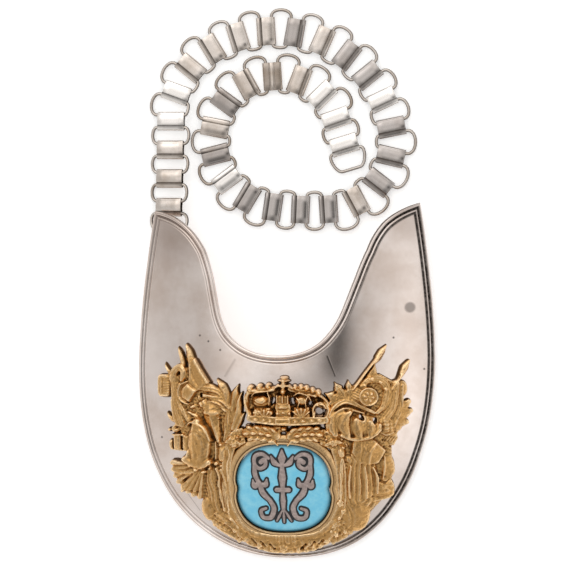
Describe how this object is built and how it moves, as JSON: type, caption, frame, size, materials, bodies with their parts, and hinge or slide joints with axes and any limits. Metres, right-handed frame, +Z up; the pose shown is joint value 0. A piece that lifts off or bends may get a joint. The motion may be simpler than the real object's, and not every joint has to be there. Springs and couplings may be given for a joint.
{
  "type": "parade gorget",
  "caption": "Crescent-shaped metal gorget with a beaded rim, gilt relief trophies and crown round a blue enamel medallion, and a chain of flat clips and rings for the neck.",
  "frame": {"origin": "on the resting surface, below the middle of the whole object's box", "axes": "+Z up, +Y from the gorget's lower edge towards its horns and the chain, +X to the right of a viewer who looks down with the horns up"},
  "size_m": [0.1576, 0.2903, 0.0375],
  "materials": {
    "nickel_silver": "satin-polished nickel silver, lightly tarnished",
    "chain_silver": "satin, tarnished brown in the folds",
    "gilt_brass": "cast relief, gilt, dark in the recesses",
    "sky_enamel": "glossy enamel, slightly mottled",
    "grey_enamel": "satin applied ornament with dark outlines"
  },
  "bodies": {
    "root": {"gorget_plate": "nickel_silver", "cartouche_frame": "gilt_brass", "crown": "gilt_brass", "trophy_left": "gilt_brass", "trophy_right": "gilt_brass", "enamel_medallion": "sky_enamel", "medallion_ornament": "grey_enamel", "chain_link_01": "chain_silver", "chain_link_02": "chain_silver", "chain_link_03": "chain_silver", "chain_link_04": "chain_silver", "chain_link_05": "chain_silver", "chain_link_06": "chain_silver", "chain_link_07": "chain_silver", "chain_link_08": "chain_silver", "chain_link_09": "chain_silver", "chain_link_10": "chain_silver", "chain_link_11": "chain_silver", "chain_link_12": "chain_silver", "chain_link_13": "chain_silver", "chain_link_14": "chain_silver", "chain_link_15": "chain_silver", "chain_link_16": "chain_silver", "chain_link_17": "chain_silver", "chain_link_18": "chain_silver", "chain_link_19": "chain_silver", "chain_link_20": "chain_silver", "chain_link_21": "chain_silver", "chain_link_22": "chain_silver", "chain_link_23": "chain_silver", "chain_link_24": "chain_silver", "chain_link_25": "chain_silver", "chain_link_26": "chain_silver", "chain_link_27": "chain_silver", "chain_link_28": "chain_silver", "chain_link_29": "chain_silver", "chain_link_30": "chain_silver", "chain_link_31": "chain_silver", "chain_link_32": "chain_silver", "chain_end_ring": "chain_silver", "chain_staple": "chain_silver", "chain_hook": "nickel_silver"}
  },
  "joints": []
}
